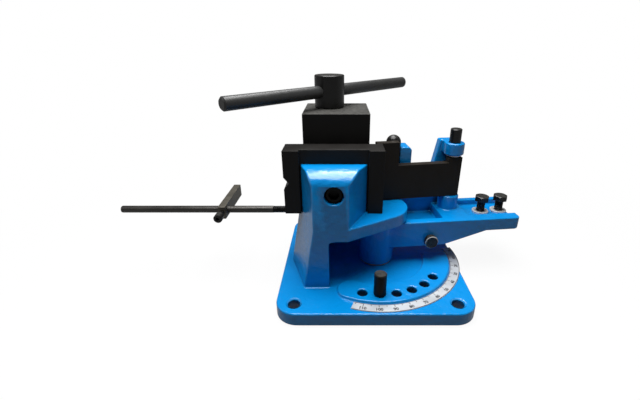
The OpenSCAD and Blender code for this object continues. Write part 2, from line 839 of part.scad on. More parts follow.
// Cast arm: hub, beam with lever channel, pin boss, ring lug and left lug
module swing_arm() {
    pin = backing_pin_at();
    color(blue) in_arm() difference() {
        union() {
            translate([0, 0, hub_low]) cylinder(d = hub_d, h = hub_top - hub_low);
            arm_beam();
            translate([blade_pin_r, blade_pin_n, root_z]) cylinder(d = lower_boss_d, h = boss_top - root_z);
            rear_upright();
            left_lug();
        }
        translate([0, 0, hub_low - cut]) cylinder(r = pivot_pin_d / 2 + run_fit, h = hub_top);
        translate([channel_from, channel_n - channel_w / 2, channel_z])
            cube([arm_reach, channel_w, channel_d + cut]);
        translate([blade_pin_r, blade_pin_n, arm_top])
            cylinder(r = blade_pin_d / 2 + run_fit, h = 2 * ring_top);
        translate([pin.x, pin.y, lug_z - backing_pin_seat])
            cylinder(r = backing_pin_d / 2 + thread_fit, h = backing_pin_seat + cut);
        at_lever_bolts() translate([0, 0, -arm_shallow])
            cylinder(r = lever_bolt_d / 2 + thread_fit, h = 2 * arm_shallow);
        translate([stop_bolt_r, -arm_front - cut, arm_low + stop_bolt_z]) rotate([-90, 0, 0])
            cylinder(r = stop_bolt_d / 2 + thread_fit, h = stop_bolt_l + edge + cut);
    }
}

// Bolt in the arm's front face that meets the stop pin
module stop_bolt() {
    color(black) in_arm() translate([stop_bolt_r, -arm_front, arm_low + stop_bolt_z]) rotate([-90, 0, 0]) {
        translate([0, 0, -stop_bolt_head_h - face_fit]) turned(stop_bolt_head_d, stop_bolt_head_h);
        translate([0, 0, -face_fit - edge]) cylinder(d = stop_bolt_d, h = stop_bolt_l + face_fit + edge);
    }
}

// Bolts that clamp the hand lever in the channel
module lever_bolts() {
    color(black) in_arm() at_lever_bolts() translate([0, 0, lever_washer_t + lever_grip]) {
        hexagon(lever_bolt_flats, lever_bolt_head_h);
        translate([0, 0, -lever_bolt_l]) cylinder(d = lever_bolt_d, h = lever_bolt_l + edge);
    }
}

// Washers under the lever bolts
module lever_washers() {
    color(zinc) in_arm() at_lever_bolts()
        ring(lever_washer_d, lever_bolt_d + 2 * washer_fit, lever_washer_t);
}

// Blade that pushes the bar round the die, with its tab and eye
module bending_blade() {
    color(black) in_blade() difference() {
        union() {
            translate([-blade_l, -eye_r, 0]) cube([blade_l, blade_t, blade_h]);
            translate([-blade_l, -eye_r, 0]) cube([tab_w, blade_t, tab_h]);
            translate([-eye_r, -eye_r, 0]) cube([2 * eye_r, eye_r, eye_h]);
            cylinder(r = eye_r, h = eye_h);
        }
        translate([0, 0, -cut]) cylinder(r = blade_pin_d / 2 + run_fit, h = eye_h + 2 * cut);
    }
}

// Pin that the blade turns on
module blade_pin() {
    color(black) in_arm() translate([blade_pin_r, blade_pin_n, arm_top + face_fit])
        turned(blade_pin_d, ring_top + blade_pin_proud - arm_top);
}

// Washer between the blade's eye and the ring lug
module blade_washer() {
    color(zinc) in_arm() translate([blade_pin_r, blade_pin_n, ring_z - blade_washer_t])
        ring(blade_washer_d, blade_pin_d + 2 * washer_fit, blade_washer_t);
}

// Domed pin in the left lug that backs the blade's tab
module backing_pin() {
    pin = backing_pin_at();
    r = backing_pin_d / 2;
    color(black) in_arm() translate([pin.x, pin.y, lug_z - backing_pin_seat]) {
        cylinder(r = r, h = backing_pin_seat + backing_pin_proud - r);
        translate([0, 0, backing_pin_seat + backing_pin_proud - r]) rotate_extrude() intersection() {
            circle(r);
            square(r);
        }
    }
}

frame_casting();
angle_scale();
pivot_pin();
lower_thrust_washer();
upper_thrust_washer();
bending_die();
die_screw();
die_dowels();
stop_rod();
stop_block();
stop_lock_screw();
spindle_bush();
clamp_spindle();
tee_bar();
clamp_block();
stop_pin();
swing_arm();
stop_bolt();
lever_bolts();
lever_washers();
bending_blade();
blade_pin();
blade_washer();
backing_pin();
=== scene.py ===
# %% [markdown]
# # A universal bar bender
# This lesson dresses a bench tool that bends flat bar: a blue cast frame, a black die and clamp, and
# a swinging arm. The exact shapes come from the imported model. Blender adds what the eye looks for
# next: paint, black oxide, rounded casting edges, threads and a printed angle scale.

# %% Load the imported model
import json
import math

import bmesh
import bpy
from mathutils import Matrix, Vector


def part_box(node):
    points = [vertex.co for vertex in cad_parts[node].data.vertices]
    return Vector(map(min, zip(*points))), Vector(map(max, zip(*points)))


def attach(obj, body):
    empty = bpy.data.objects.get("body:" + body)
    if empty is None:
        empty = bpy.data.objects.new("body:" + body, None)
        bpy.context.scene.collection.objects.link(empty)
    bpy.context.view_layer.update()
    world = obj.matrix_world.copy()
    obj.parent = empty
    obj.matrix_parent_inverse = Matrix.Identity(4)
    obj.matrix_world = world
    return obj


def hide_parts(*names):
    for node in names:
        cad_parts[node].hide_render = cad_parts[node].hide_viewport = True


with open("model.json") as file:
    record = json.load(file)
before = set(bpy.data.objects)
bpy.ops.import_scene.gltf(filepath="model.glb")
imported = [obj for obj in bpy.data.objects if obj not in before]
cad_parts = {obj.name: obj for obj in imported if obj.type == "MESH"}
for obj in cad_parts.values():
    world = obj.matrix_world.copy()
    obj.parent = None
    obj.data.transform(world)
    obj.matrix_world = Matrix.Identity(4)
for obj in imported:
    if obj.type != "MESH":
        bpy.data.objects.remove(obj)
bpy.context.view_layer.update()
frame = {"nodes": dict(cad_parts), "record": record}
nodes = frame["nodes"]

# %% [markdown]
# The camera stands in front of the tool, a little to the left, and looks down by about 24 degrees.
# The lens is wide, so near pieces look larger. A small shift moves the optical axis off the middle of
# the picture. The lens is given in pixels of the picture and turned into millimetres on the sensor.

# %% Camera
PICTURE_W = 640
FOCAL_PX = 356.65
AXIS_PX = 341
SENSOR_MM = 36
CAMERA_PLACE = (-0.0436, -0.4573, 0.3155)
CAMERA_DOWN = math.radians(24.03)
NEAR_CLIP = 0.01

camera_data = bpy.data.cameras.new("camera")
camera_data.sensor_width = SENSOR_MM
camera_data.lens = SENSOR_MM * FOCAL_PX / PICTURE_W
camera_data.shift_x = (PICTURE_W / 2 - AXIS_PX) / PICTURE_W
camera_data.clip_start = NEAR_CLIP
camera = bpy.data.objects.new("camera", camera_data)
camera.location = CAMERA_PLACE
camera.rotation_euler = (math.pi / 2 - CAMERA_DOWN, 0, 0)
bpy.context.scene.collection.objects.link(camera)
bpy.context.scene.camera = camera
print("lens", round(camera_data.lens, 2), "mm")

# %% [markdown]
# The tool stands on white ground in soft light. The world gives a weak, slightly warm fill, and it
# shows white to the camera. Mirror rays see a dim white, so that paint and steel have something pale
# to reflect. One function works out how white each kind of ray sees the surroundings, because the
# floor needs the same answer.

# %% World
WORLD_FILL = (1.0, 0.96, 0.9)
WORLD_FILL_STRENGTH = 0.03
WORLD_MIRRORED = 0.05
WHITE = (1, 1, 1)


def feed(tree, value, socket):
    """Gives a socket a number, a colour or what another socket puts out."""
    if isinstance(value, bpy.types.NodeSocket):
        tree.links.new(value, socket)
    elif isinstance(value, tuple):
        socket.default_value = (*value, 1)
    else:
        socket.default_value = value


def add_math(tree, kind, a, b):
    """Math node on two numbers or sockets."""
    node = tree.nodes.new("ShaderNodeMath")
    node.operation = kind
    feed(tree, a, node.inputs[0])
    feed(tree, b, node.inputs[1])
    return node.outputs[0]


def white_share(tree, mirrored):
    """How white the camera sees the surroundings, and any ray: mirrors and glass see a part."""
    path = tree.nodes.new("ShaderNodeLightPath").outputs
    reflected = add_math(tree, "MAXIMUM", path["Is Glossy Ray"], path["Is Transmission Ray"])
    dimmed = add_math(tree, "MULTIPLY", reflected, mirrored)
    return path["Is Camera Ray"], add_math(tree, "MAXIMUM", dimmed, path["Is Camera Ray"])


scene = bpy.context.scene
scene.view_settings.view_transform = "Standard"
world = bpy.data.worlds.new("studio")
scene.world = world
world.use_nodes = True
sky = world.node_tree
sky.nodes.clear()
fill = sky.nodes.new("ShaderNodeBackground")
feed(sky, WORLD_FILL, fill.inputs["Color"])
feed(sky, WORLD_FILL_STRENGTH, fill.inputs["Strength"])
white = sky.nodes.new("ShaderNodeBackground")
feed(sky, WHITE, white.inputs["Color"])
sky_mix = sky.nodes.new("ShaderNodeMixShader")
feed(sky, white_share(sky, WORLD_MIRRORED)[1], sky_mix.inputs[0])
feed(sky, fill.outputs[0], sky_mix.inputs[1])
feed(sky, white.outputs[0], sky_mix.inputs[2])
feed(sky, sky_mix.outputs[0], sky.nodes.new("ShaderNodeOutputWorld").inputs["Surface"])
print("world", world.name)

# %% [markdown]
# One big lamp overhead lights the tops. Weak panels at the left and the right keep the sides from
# going black. The small lamp behind the tool only puts glints on edges and bolt heads: matt light
# doesn't see it, so it changes no colour.

# %% Lamps
LAMP_TARGET = Vector((0, 0, 0.1))
LAMPS = {  # place, size in metres, watts
    "overhead": ((-0.1, 0.03, 1.25), 0.9, 26),
    "back_box": ((0.0, 0.6, 1.12), 0.28, 5),
    "left_panel": ((-1.1, -0.1, 0.55), 0.6, 1.0),
    "right_panel": ((1.1, -0.1, 0.55), 0.6, 0.7),
}
GLINT_LAMP = "back_box"

for lamp_name, (lamp_place, lamp_size, watts) in LAMPS.items():
    lamp_data = bpy.data.lights.new(lamp_name, "AREA")
    lamp_data.size = lamp_size
    lamp_data.energy = watts
    lamp = bpy.data.objects.new(lamp_name, lamp_data)
    lamp.location = lamp_place
    lamp.rotation_euler = (LAMP_TARGET - Vector(lamp_place)).to_track_quat("-Z", "Y").to_euler()
    lamp.visible_diffuse = lamp_name != GLINT_LAMP
    scene.collection.objects.link(lamp)
print("lamps", list(LAMPS))

# %% [markdown]
# The floor is one large square. To the camera it is nearly all added white, with a small matt part
# close to the tool that takes its shadow. Mirror rays see it paler than the world. All other rays see
# a dark matt floor, because a bright one would light the tool from below.

# %% Floor
FLOOR_HALF = 8
FLOOR_MIRRORED = 0.37
FLOOR_UNSEEN = (0.08, 0.08, 0.08)
FLOOR_SEEN = (0.8, 0.8, 0.8)
SHADOW_NEAR, SHADOW_FAR = 0.25, 0.75
WHITE_NEAR, WHITE_FAR = 0.93, 1.0


def add_range(tree, value, low, high, to_low=0.0, to_high=1.0):
    """Map Range node, clamped and smooth."""
    node = tree.nodes.new("ShaderNodeMapRange")
    node.interpolation_type = "SMOOTHSTEP"
    labels = ("Value", "From Min", "From Max", "To Min", "To Max")
    for label, v in zip(labels, (value, low, high, to_low, to_high)):
        feed(tree, v, node.inputs[label])
    return node.outputs["Result"]


def add_vector_math(tree, kind, *values):
    """Vector Math node on one or two vectors; returns its outputs."""
    node = tree.nodes.new("ShaderNodeVectorMath")
    node.operation = kind
    for socket, value in zip(node.inputs, values):
        tree.links.new(value, socket)
    return node.outputs


def mix_colours(tree, mask, a, b):
    """Colour that goes from a to b with the mask; a and b are colours or sockets."""
    node = tree.nodes.new("ShaderNodeMix")
    node.data_type = "RGBA"
    feed(tree, mask, node.inputs["Factor"])
    feed(tree, a, node.inputs[6])
    feed(tree, b, node.inputs[7])
    return node.outputs[2]


def own_place(tree):
    """Coordinates in the piece's own space."""
    return tree.nodes.new("ShaderNodeTexCoord").outputs["Object"]


floor_mesh = bpy.data.meshes.new("floor")
floor_corners = [(x * FLOOR_HALF, y * FLOOR_HALF, 0) for x, y in ((-1, -1), (1, -1), (1, 1), (-1, 1))]
floor_mesh.from_pydata(floor_corners, [], [(0, 1, 2, 3)])
floor = bpy.data.objects.new("floor", floor_mesh)
scene.collection.objects.link(floor)

floor_paint = bpy.data.materials.new("floor_paint")
floor_paint.use_nodes = True
floor_mesh.materials.append(floor_paint)
ground = floor_paint.node_tree
ground.nodes.clear()
from_camera, from_any = white_share(ground, FLOOR_MIRRORED)
matt = ground.nodes.new("ShaderNodeBsdfDiffuse")
feed(ground, mix_colours(ground, from_camera, FLOOR_UNSEEN, FLOOR_SEEN), matt.inputs["Color"])
glow = ground.nodes.new("ShaderNodeEmission")
feed(ground, WHITE, glow.inputs["Color"])
away = add_vector_math(ground, "LENGTH", own_place(ground))["Value"]
fade = add_range(ground, away, SHADOW_NEAR, SHADOW_FAR, WHITE_NEAR, WHITE_FAR)
ground_mix = ground.nodes.new("ShaderNodeMixShader")
feed(ground, add_math(ground, "MULTIPLY", from_any, fade), ground_mix.inputs[0])
feed(ground, matt.outputs[0], ground_mix.inputs[1])
feed(ground, glow.outputs[0], ground_mix.inputs[2])
feed(ground, ground_mix.outputs[0], ground.nodes.new("ShaderNodeOutputMaterial").inputs["Surface"])
print("floor", 2 * FLOOR_HALF, "m wide")

# %% [markdown]
# Several finishes share the same small effects, so each effect is one node group with named sockets.
# The first is the skin of a casting: broad waves left by the sand mould and a fine orange peel in the
# paint. Noise in the piece's own space gives both, so the skin stays put when a piece moves.

# %% Group: casting skin


def effect_group(name, inputs, outputs):
    """Empty shader group with float sockets; returns it, its inputs' values and its outputs."""
    group = bpy.data.node_groups.new(name, "ShaderNodeTree")
    for label, value in inputs.items():
        socket = group.interface.new_socket(label, in_out="INPUT", socket_type="NodeSocketFloat")
        socket.default_value = value
    for label in outputs:
        group.interface.new_socket(label, in_out="OUTPUT", socket_type="NodeSocketFloat")
    given = group.nodes.new("NodeGroupInput").outputs
    return group, given, group.nodes.new("NodeGroupOutput").inputs


def add_noise(tree, vector, scale, detail, rough=0.5):
    """Noise texture on a vector; scale is a number or a socket."""
    noise = tree.nodes.new("ShaderNodeTexNoise")
    settings = {"Vector": vector, "Scale": scale, "Detail": detail, "Roughness": rough}
    for label, value in settings.items():
        feed(tree, value, noise.inputs[label])
    return noise.outputs["Fac"]


MOTTLE_SCALE = 14
skin, skin_in, skin_out = effect_group(
    "casting_skin", {"Wave scale": 45, "Peel scale": 700, "Peel share": 0.25}, ["Height", "Mottle"])
skin_place = own_place(skin)
waves = add_noise(skin, skin_place, skin_in["Wave scale"], detail=3)
peel = add_noise(skin, skin_place, skin_in["Peel scale"], detail=2)
low_peel = add_math(skin, "MULTIPLY", peel, skin_in["Peel share"])
feed(skin, add_math(skin, "ADD", waves, low_peel), skin_out["Height"])
feed(skin, add_noise(skin, skin_place, MOTTLE_SCALE, detail=4, rough=0.6), skin_out["Mottle"])
print("group", skin.name)

# %% [markdown]
# Edges are touched first: paint thins there and oxide rubs off. On the black oxide the pale edges
# are partly a painted highlight too. The Bevel node gives the normal that a rounded edge would have;
# where it turns away from the true normal, there is an edge. Noise breaks the mask up.

# %% Group: edge wear and highlight
EDGE_STARTS, EDGE_FULL = 0.975, 0.82
BEVEL_SAMPLES = 6

edge_group, edge_in, edge_out = effect_group(
    "edge_wear_and_highlight", {"Radius": 0.0012, "Patch scale": 160, "Amount": 0.6}, ["Mask"])
rounded = edge_group.nodes.new("ShaderNodeBevel")
rounded.samples = BEVEL_SAMPLES
feed(edge_group, edge_in["Radius"], rounded.inputs["Radius"])
true_normal = edge_group.nodes.new("ShaderNodeNewGeometry").outputs["Normal"]
facing = add_vector_math(edge_group, "DOT_PRODUCT", rounded.outputs[0], true_normal)["Value"]
turned_away = add_range(edge_group, facing, EDGE_STARTS, EDGE_FULL)
edge_noise = add_noise(edge_group, own_place(edge_group), edge_in["Patch scale"], detail=4, rough=0.65)
edge_patches = add_math(edge_group, "MULTIPLY", turned_away, add_range(edge_group, edge_noise, low=0.42, high=0.6))
feed(edge_group, add_math(edge_group, "MULTIPLY", edge_patches, edge_in["Amount"]), edge_out["Mask"])
print("group", edge_group.name)

# %% [markdown]
# Steel that was milled or drawn keeps fine lines from the tool. Noise that is stretched along one
# direction gives them, and a second, coarser noise gives the cloudy look of an oiled surface.

# %% Group: tool lines
CLOUD_SCALE = 38

lines, lines_in, lines_out = effect_group(
    "tool_lines", {"Along X": 1, "Along Y": 1, "Along Z": 1, "Fineness": 900}, ["Lines", "Cloud"])
lines_place = own_place(lines)
stretch = lines.nodes.new("ShaderNodeCombineXYZ")
for axis in "XYZ":
    feed(lines, lines_in["Along " + axis], stretch.inputs[axis])
stretched = add_vector_math(lines, "MULTIPLY", lines_place, stretch.outputs[0])["Vector"]
fine_lines = add_noise(lines, stretched, lines_in["Fineness"], detail=3, rough=0.6)
feed(lines, fine_lines, lines_out["Lines"])
feed(lines, add_noise(lines, lines_place, CLOUD_SCALE, detail=5, rough=0.62), lines_out["Cloud"])
print("group", lines.name)

# %% [markdown]
# Bores, deep corners and recesses of a casting take a painted shade, nearly black. Ambient
# occlusion that sees only its own piece finds them, so the painted shade stays right when another
# piece moves away.

# %% Group: painted hollow shade
HOLLOW_STARTS, HOLLOW_FULL = 0.7, 0.24
HOLLOW_SAMPLES = 8

hollow_shade, hollow_shade_in, hollow_shade_out = effect_group("painted_hollow_shade", {"Reach": 0.02, "Amount": 0.92}, ["Mask"])
hollow = hollow_shade.nodes.new("ShaderNodeAmbientOcclusion")
hollow.samples = HOLLOW_SAMPLES
hollow.only_local = True
feed(hollow_shade, hollow_shade_in["Reach"], hollow.inputs["Distance"])
# Painted shade: the more closed in a point is, the darker it is painted.
closed_in = add_range(hollow_shade, hollow.outputs["AO"], HOLLOW_STARTS, HOLLOW_FULL)
feed(hollow_shade, add_math(hollow_shade, "MULTIPLY", closed_in, hollow_shade_in["Amount"]), hollow_shade_out["Mask"])
print("group", hollow_shade.name)

# %% [markdown]
# What faces up takes a painted sheen, paler as if lit from above. The mask follows the height of
# the true normal, and noise makes it patchy.

# %% Group: painted top sheen
SHEEN_STARTS, SHEEN_FULL = 0.6, 0.95

top_sheen, top_sheen_in, top_sheen_out = effect_group("painted_top_sheen", {"Amount": 0.0, "Patch scale": 220}, ["Mask"])
upward = top_sheen.nodes.new("ShaderNodeSeparateXYZ")
feed(top_sheen, top_sheen.nodes.new("ShaderNodeNewGeometry").outputs["Normal"], upward.inputs[0])
sheen_noise = add_noise(top_sheen, own_place(top_sheen), top_sheen_in["Patch scale"], detail=4, rough=0.6)
sheen_patches = add_range(top_sheen, sheen_noise, low=0.3, high=0.65, to_low=0.45)
lying = add_range(top_sheen, upward.outputs["Z"], SHEEN_STARTS, SHEEN_FULL)
sheen_film = add_math(top_sheen, "MULTIPLY", lying, sheen_patches)
feed(top_sheen, add_math(top_sheen, "MULTIPLY", sheen_film, top_sheen_in["Amount"]), top_sheen_out["Mask"])
print("group", top_sheen.name)

# %% [markdown]
# Now the finishes. The blue is a glossy enamel over cast iron: one Principled shader with a thin
# clear coat. Its colour drifts a little between two blues, the edges show a paler, thinner film, and
# the hollows take a painted shade, nearly black. The casting skin gives the bump.

# %% Finish: blue enamel
BLUE, BLUE_LIGHT = (0.0, 0.225, 0.60), (0.002, 0.275, 0.72)
BLUE_THIN = (0.10, 0.38, 0.80)
# painted shade: the near-black colour that the hollows take in place of their shade
HOLLOW_SHADE_PAINT = (0.002, 0.010, 0.022)
DRIFT_LOW, DRIFT_HIGH = 0.3, 0.7


def new_finish(name):
    """Material with a Principled shader; returns the material, its tree and the shader's inputs."""
    material = bpy.data.materials.new(name)
    material.use_nodes = True
    tree = material.node_tree
    return material, tree, tree.nodes["Principled BSDF"].inputs


def place_group(tree, group, **values):
    """Places an effect group in a material; keywords set its inputs, with _ for a space."""
    node = tree.nodes.new("ShaderNodeGroup")
    node.node_tree = group
    for label, value in values.items():
        node.inputs[label.replace("_", " ")].default_value = value
    return node.outputs


def drift_roughness(tree, shader, noise, smooth, rough):
    """Roughness that drifts between two values with a noise."""
    feed(tree, add_range(tree, noise, DRIFT_LOW, DRIFT_HIGH, smooth, rough), shader["Roughness"])


def add_bump(tree, shader, height, strength, distance):
    """Bump that feeds the shader's normal."""
    bump = tree.nodes.new("ShaderNodeBump")
    feed(tree, strength, bump.inputs["Strength"])
    feed(tree, distance, bump.inputs["Distance"])
    feed(tree, height, bump.inputs["Height"])
    feed(tree, bump.outputs[0], shader["Normal"])


blue_enamel, blue_tree, blue_shader = new_finish("blue_enamel")
blue_skin = place_group(blue_tree, skin, Wave_scale=110, Peel_share=0.12)
blue_edges = place_group(blue_tree, edge_group, Radius=0.0016, Amount=0.35)
blue_hollow_shade = place_group(blue_tree, hollow_shade)
blue_film = mix_colours(blue_tree, blue_skin["Mottle"], BLUE, BLUE_LIGHT)
blue_worn = mix_colours(blue_tree, blue_edges["Mask"], blue_film, BLUE_THIN)
# Painted shade: the hollows that ambient occlusion finds are mixed to near-black.
blue_all = mix_colours(blue_tree, blue_hollow_shade["Mask"], blue_worn, HOLLOW_SHADE_PAINT)
feed(blue_tree, blue_all, blue_shader["Base Color"])
drift_roughness(blue_tree, blue_shader, blue_skin["Mottle"], smooth=0.17, rough=0.27)
blue_shader["Coat Weight"].default_value = 0.12
blue_shader["Coat Roughness"].default_value = 0.08
add_bump(blue_tree, blue_shader, blue_skin["Height"], strength=0.55, distance=0.0016)
print("finish", blue_enamel.name)

# %% [markdown]
# The die, clamp, blade, pins and screws are steel with black oxide: nearly black, satin, a little
# brown where the oil has dried, and greyer on the edges, partly from wear and partly as a painted
# highlight. Tops can take a painted sheen, paler as if lit from above. One function makes the
# variants that the milled and the turned pieces need. A stretch below 1 draws the tool lines out
# along that axis.

# %% Finish: black oxide
# painted sheen: the paler grey that tops take, as if lit from above
SHEEN_GREY = (0.11, 0.108, 0.10)
OXIDE_EDGE_WEAR_AND_HIGHLIGHT = (0.16, 0.155, 0.15)
RUBBED_METALLIC = 0.7
MILLED_ALONG_X = (0.08, 1, 1)
NO_STRETCH = (1, 1, 1)


def place_lines(tree, stretch_by):
    """Tool lines stretched by three factors."""
    return place_group(tree, lines, Along_X=stretch_by[0], Along_Y=stretch_by[1], Along_Z=stretch_by[2])


def black_oxide(name, dark, pale, stretch_by, rough=(0.38, 0.5), gloss=0.12, edge_radius=0.0008,
                edge_amount=0.5, top_sheen_amount=0.0):
    """Black oxide finish with tool lines stretched by three factors, edges that are partly worn and
    partly a painted highlight, and a painted sheen on top.
    """
    material, tree, shader = new_finish(name)
    marks = place_lines(tree, stretch_by)
    edge_mask = place_group(tree, edge_group, Radius=edge_radius, Amount=edge_amount, Patch_scale=70)
    film = mix_colours(tree, marks["Cloud"], dark, pale)
    # Painted sheen: tops turn paler grey, as if lit from above.
    grey = mix_colours(tree, place_group(tree, top_sheen, Amount=top_sheen_amount)["Mask"], film, SHEEN_GREY)
    # The pale edges are partly wear and partly a painted highlight.
    feed(tree, mix_colours(tree, edge_mask["Mask"], grey, OXIDE_EDGE_WEAR_AND_HIGHLIGHT), shader["Base Color"])
    drift_roughness(tree, shader, marks["Cloud"], *rough)
    bare = add_range(tree, edge_mask["Mask"], low=0.0, high=1.0, to_high=RUBBED_METALLIC)
    feed(tree, bare, shader["Metallic"])
    shader["Specular IOR Level"].default_value = gloss
    add_bump(tree, shader, marks["Lines"], strength=0.05, distance=0.0004)
    return material


oxide_milled = black_oxide(
    "oxide_milled", (0.009, 0.0083, 0.0075), (0.021, 0.0195, 0.018), MILLED_ALONG_X)
oxide_brown = black_oxide(
    "oxide_brown", (0.014, 0.011, 0.0085), (0.03, 0.0245, 0.019), MILLED_ALONG_X)
# The clamp's tops take a strong painted sheen.
oxide_sheened = black_oxide(
    "oxide_sheened", (0.007, 0.0065, 0.006), (0.016, 0.015, 0.014), MILLED_ALONG_X, top_sheen_amount=0.7)
# Painted shade: the die screw sits deep in its counterbore, so its oxide is made blacker in place of
# the shade there.
oxide_shaded_screw = black_oxide(
    "oxide_shaded_screw", (0.003, 0.003, 0.003), (0.007, 0.0068, 0.0065), NO_STRETCH, edge_amount=0.1)
oxide_turned = black_oxide(
    "oxide_turned", (0.006, 0.006, 0.006), (0.014, 0.0135, 0.013), NO_STRETCH, rough=(0.22, 0.34),
    gloss=0.3, edge_radius=0.0012, top_sheen_amount=0.3)
# The stop pin's pale top is a painted sheen, and its pale rim is partly a painted highlight.
oxide_pin = black_oxide(
    "oxide_pin", (0.003, 0.003, 0.003), (0.008, 0.0078, 0.0075), NO_STRETCH, rough=(0.25, 0.36),
    gloss=0.1, edge_radius=0.0012, edge_amount=1.0, top_sheen_amount=0.5)
print("finishes", [finish.name for finish in (oxide_milled, oxide_brown, oxide_sheened, oxide_shaded_screw,
                                              oxide_turned, oxide_pin)])

# %% [markdown]
# The tee bar, the stop rod and the stop block are plain drawn steel that has gone dark. They are
# metal without a thick oxide, so they mirror the lamp in a long soft streak. Fine lines run along the
# rod and the block.

# %% Finish: drawn steel
RUBBED_STEEL = (0.3, 0.29, 0.28)


def drawn_steel(name, dark, pale, stretch_by, rough, metallic=0.85, lines_depth=0.03):
    """Dark bare steel with drawing lines stretched by three factors."""
    material, tree, shader = new_finish(name)
    marks = place_lines(tree, stretch_by)
    edge_mask = place_group(tree, edge_group, Radius=0.0008, Amount=0.3)
    film = mix_colours(tree, marks["Cloud"], dark, pale)
    feed(tree, mix_colours(tree, edge_mask["Mask"], film, RUBBED_STEEL), shader["Base Color"])
    drift_roughness(tree, shader, marks["Cloud"], *rough)
    shader["Metallic"].default_value = metallic
    add_bump(tree, shader, marks["Lines"], strength=lines_depth, distance=0.0003)
    return material


drawn_bar = drawn_steel(
    "drawn_bar", (0.032, 0.033, 0.033), (0.058, 0.058, 0.057), NO_STRETCH, rough=(0.42, 0.5),
    metallic=0.4, lines_depth=0.01)
drawn_rod = drawn_steel(
    "drawn_rod", (0.055, 0.053, 0.05), (0.09, 0.086, 0.08), (0.05, 1, 1), rough=(0.4, 0.52))
drawn_block = drawn_steel(
    "drawn_block", (0.09, 0.085, 0.07), (0.15, 0.138, 0.115), (1, 0.1, 1), rough=(0.45, 0.58))
print("finishes", drawn_bar.name, drawn_rod.name, drawn_block.name)

# %% [markdown]
# Bright metals: zinc washers, a pale rim that is partly worn steel and partly a painted highlight,
# ground pins and the bronze bush. Colour and roughness are cloudy. Zinc and the rim are only partly
# metallic, because a thin dull film lies on them.

# %% Finish: bright metals


def bright_metal(name, colour, second, rough, metallic=1.0):
    """Metal whose colour and roughness drift between two values."""
    material, tree, shader = new_finish(name)
    marks = place_group(tree, lines, Fineness=1400)
    feed(tree, mix_colours(tree, marks["Cloud"], colour, second), shader["Base Color"])
    drift_roughness(tree, shader, marks["Cloud"], *rough)
    shader["Metallic"].default_value = metallic
    add_bump(tree, shader, marks["Lines"], strength=0.06, distance=0.0003)
    return material


zinc_plate = bright_metal(
    "zinc_plate", (0.60, 0.61, 0.62), (0.80, 0.81, 0.82), rough=(0.25, 0.38), metallic=0.3)
# The pale rim is partly worn steel and partly a painted highlight of the glint on the bevel.
rim_wear_and_glint = bright_metal(
    "rim_wear_and_glint", (0.30, 0.30, 0.30), (0.46, 0.455, 0.45), rough=(0.3, 0.42), metallic=0.1)
ground_steel = bright_metal(
    "ground_steel", (0.42, 0.42, 0.42), (0.58, 0.58, 0.58), rough=(0.28, 0.4))
bronze = bright_metal("bronze", (0.50, 0.32, 0.12), (0.62, 0.42, 0.18), rough=(0.3, 0.45))
print("finishes", zinc_plate.name, rim_wear_and_glint.name, ground_steel.name, bronze.name)

# %% [markdown]
# The angle scale is a thin foil band, pale and a little cloudy, with dark ink on it. Both are short
# materials of their own, because nothing else on the tool looks like them.

# %% Finish: scale foil and ink
FOIL, FOIL_PALE = (0.40, 0.43, 0.46), (0.66, 0.68, 0.70)
INK, INK_PALE = (0.004, 0.004, 0.006), (0.02, 0.021, 0.025)

foil, foil_tree, foil_shader = new_finish("scale_foil")
foil_cloud = place_group(foil_tree, lines, Fineness=500)["Cloud"]
feed(foil_tree, mix_colours(foil_tree, foil_cloud, FOIL, FOIL_PALE), foil_shader["Base Color"])
drift_roughness(foil_tree, foil_shader, foil_cloud, smooth=0.34, rough=0.5)
foil_shader["Metallic"].default_value = 0.25
add_bump(foil_tree, foil_shader, foil_cloud, strength=0.1, distance=0.0006)

ink, ink_tree, ink_shader = new_finish("scale_ink")
ink_marks = place_group(ink_tree, lines, Fineness=1600)
feed(ink_tree, mix_colours(ink_tree, ink_marks["Lines"], INK, INK_PALE), ink_shader["Base Color"])
drift_roughness(ink_tree, ink_shader, ink_marks["Cloud"], smooth=0.45, rough=0.6)
print("finishes", foil.name, ink.name)

# %% [markdown]
# The nodes of the model keep their shapes and take these finishes. The record names a material slot
# for each node, which gives most finishes. A few pieces have one of their own.

# %% Dress the nodes
SLOT_FINISH = {
    "blue_paint": blue_enamel, "black_steel": oxide_turned, "zinc_steel": zinc_plate,
    "ground_steel": ground_steel, "bronze": bronze, "scale_plate": foil,
}
OWN_FINISH = {
    "bending_die": oxide_milled, "clamp_block": oxide_sheened, "bending_blade": oxide_brown,
    "die_screw": oxide_shaded_screw, "stop_pin": oxide_pin, "stop_block": drawn_block, "tee_bar": drawn_bar,
}
for subpart in frame["record"]["subparts"]:
    node_name = subpart["node"]
    node_finishes = nodes[node_name].data.materials
    node_finishes.clear()
    node_finishes.append(OWN_FINISH.get(node_name, SLOT_FINISH[subpart["material_slot"]]))
print("dressed", len(nodes))

# %% [markdown]
# A casting has no sharp edges: the pattern is rounded so that the sand holds. A bevel will round every
# edge, hollow ones too, but in a few places of the frame there is no room for the full radius: above
# the screw's counterbore, at one corner of the table, and where the arch runs out flat under the
# table. Geometry nodes write a bevel weight on every sharp edge and give none to edges whose middle
# lies near those places.

# %% Mark the edges to round
SHARP_FROM = math.radians(25)
NO_ROOM = (  # centre and reach
    ((-0.052, -0.074, 0.1607), 0.0166),
    ((-0.0959, -0.022, 0.1034), 0.001),
    ((-0.0575, -0.038, 0.0858), 0.0076),
)

